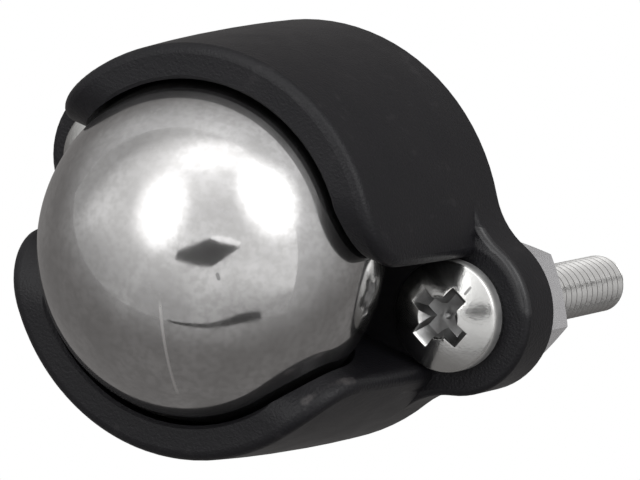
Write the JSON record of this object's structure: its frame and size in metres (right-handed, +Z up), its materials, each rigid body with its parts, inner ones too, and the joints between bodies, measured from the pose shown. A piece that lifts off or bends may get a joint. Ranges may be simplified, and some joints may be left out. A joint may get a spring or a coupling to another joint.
{
  "type": "ball castor",
  "caption": "Small ball castor: a polished steel ball snapped into a black plastic housing with screw ears, pan-head screws and hexagon nuts.",
  "frame": {"origin": "centre of the flat mounting face of the housing, halfway between the two screws", "axes": "+Z points up out of the mounting face, along the screws, so the ball is on -Z; X runs along the line of the two screws; the two wings of the housing are on +Y and -Y"},
  "size_m": [0.021, 0.0158, 0.0247],
  "materials": {
    "housing_plastic": "black moulded plastic, satin",
    "ball_steel": "mirror polished",
    "screw_steel": "bright plated",
    "nut_steel": "bright plated",
    "roller_steel": "ground steel"
  },
  "bodies": {
    "body": {"housing": "housing_plastic", "mounting_screws": "screw_steel", "hex_nuts": "nut_steel"},
    "ball": {"ball": "ball_steel"},
    "roller_centre": {"roller_centre": "roller_steel"},
    "roller_left": {"roller_left": "roller_steel"},
    "roller_right": {"roller_right": "roller_steel"}
  },
  "joints": [
    {"name": "ball_roll", "type": "hinge", "parent": "body", "child": "ball", "pos_m": [0, 0, -0.0077], "axis": [1, 0, 0], "continuous": true},
    {"name": "roller_centre_spin", "type": "hinge", "parent": "body", "child": "roller_centre", "pos_m": [0, 0.00507, -0.00263], "axis": [1, 0, 0], "continuous": true},
    {"name": "roller_left_spin", "type": "hinge", "parent": "body", "child": "roller_left", "pos_m": [-0.00291, -0.00415, -0.00263], "axis": [0.8192, -0.5736, 0], "continuous": true},
    {"name": "roller_right_spin", "type": "hinge", "parent": "body", "child": "roller_right", "pos_m": [0.00291, -0.00415, -0.00263], "axis": [0.8192, 0.5736, 0], "continuous": true}
  ],
  "couplings": [
    {"joint": "roller_centre_spin", "follows": "ball_roll", "ratio": -7.9375},
    {"joint": "roller_left_spin", "follows": "ball_roll", "ratio": -6.502},
    {"joint": "roller_right_spin", "follows": "ball_roll", "ratio": -6.502}
  ]
}
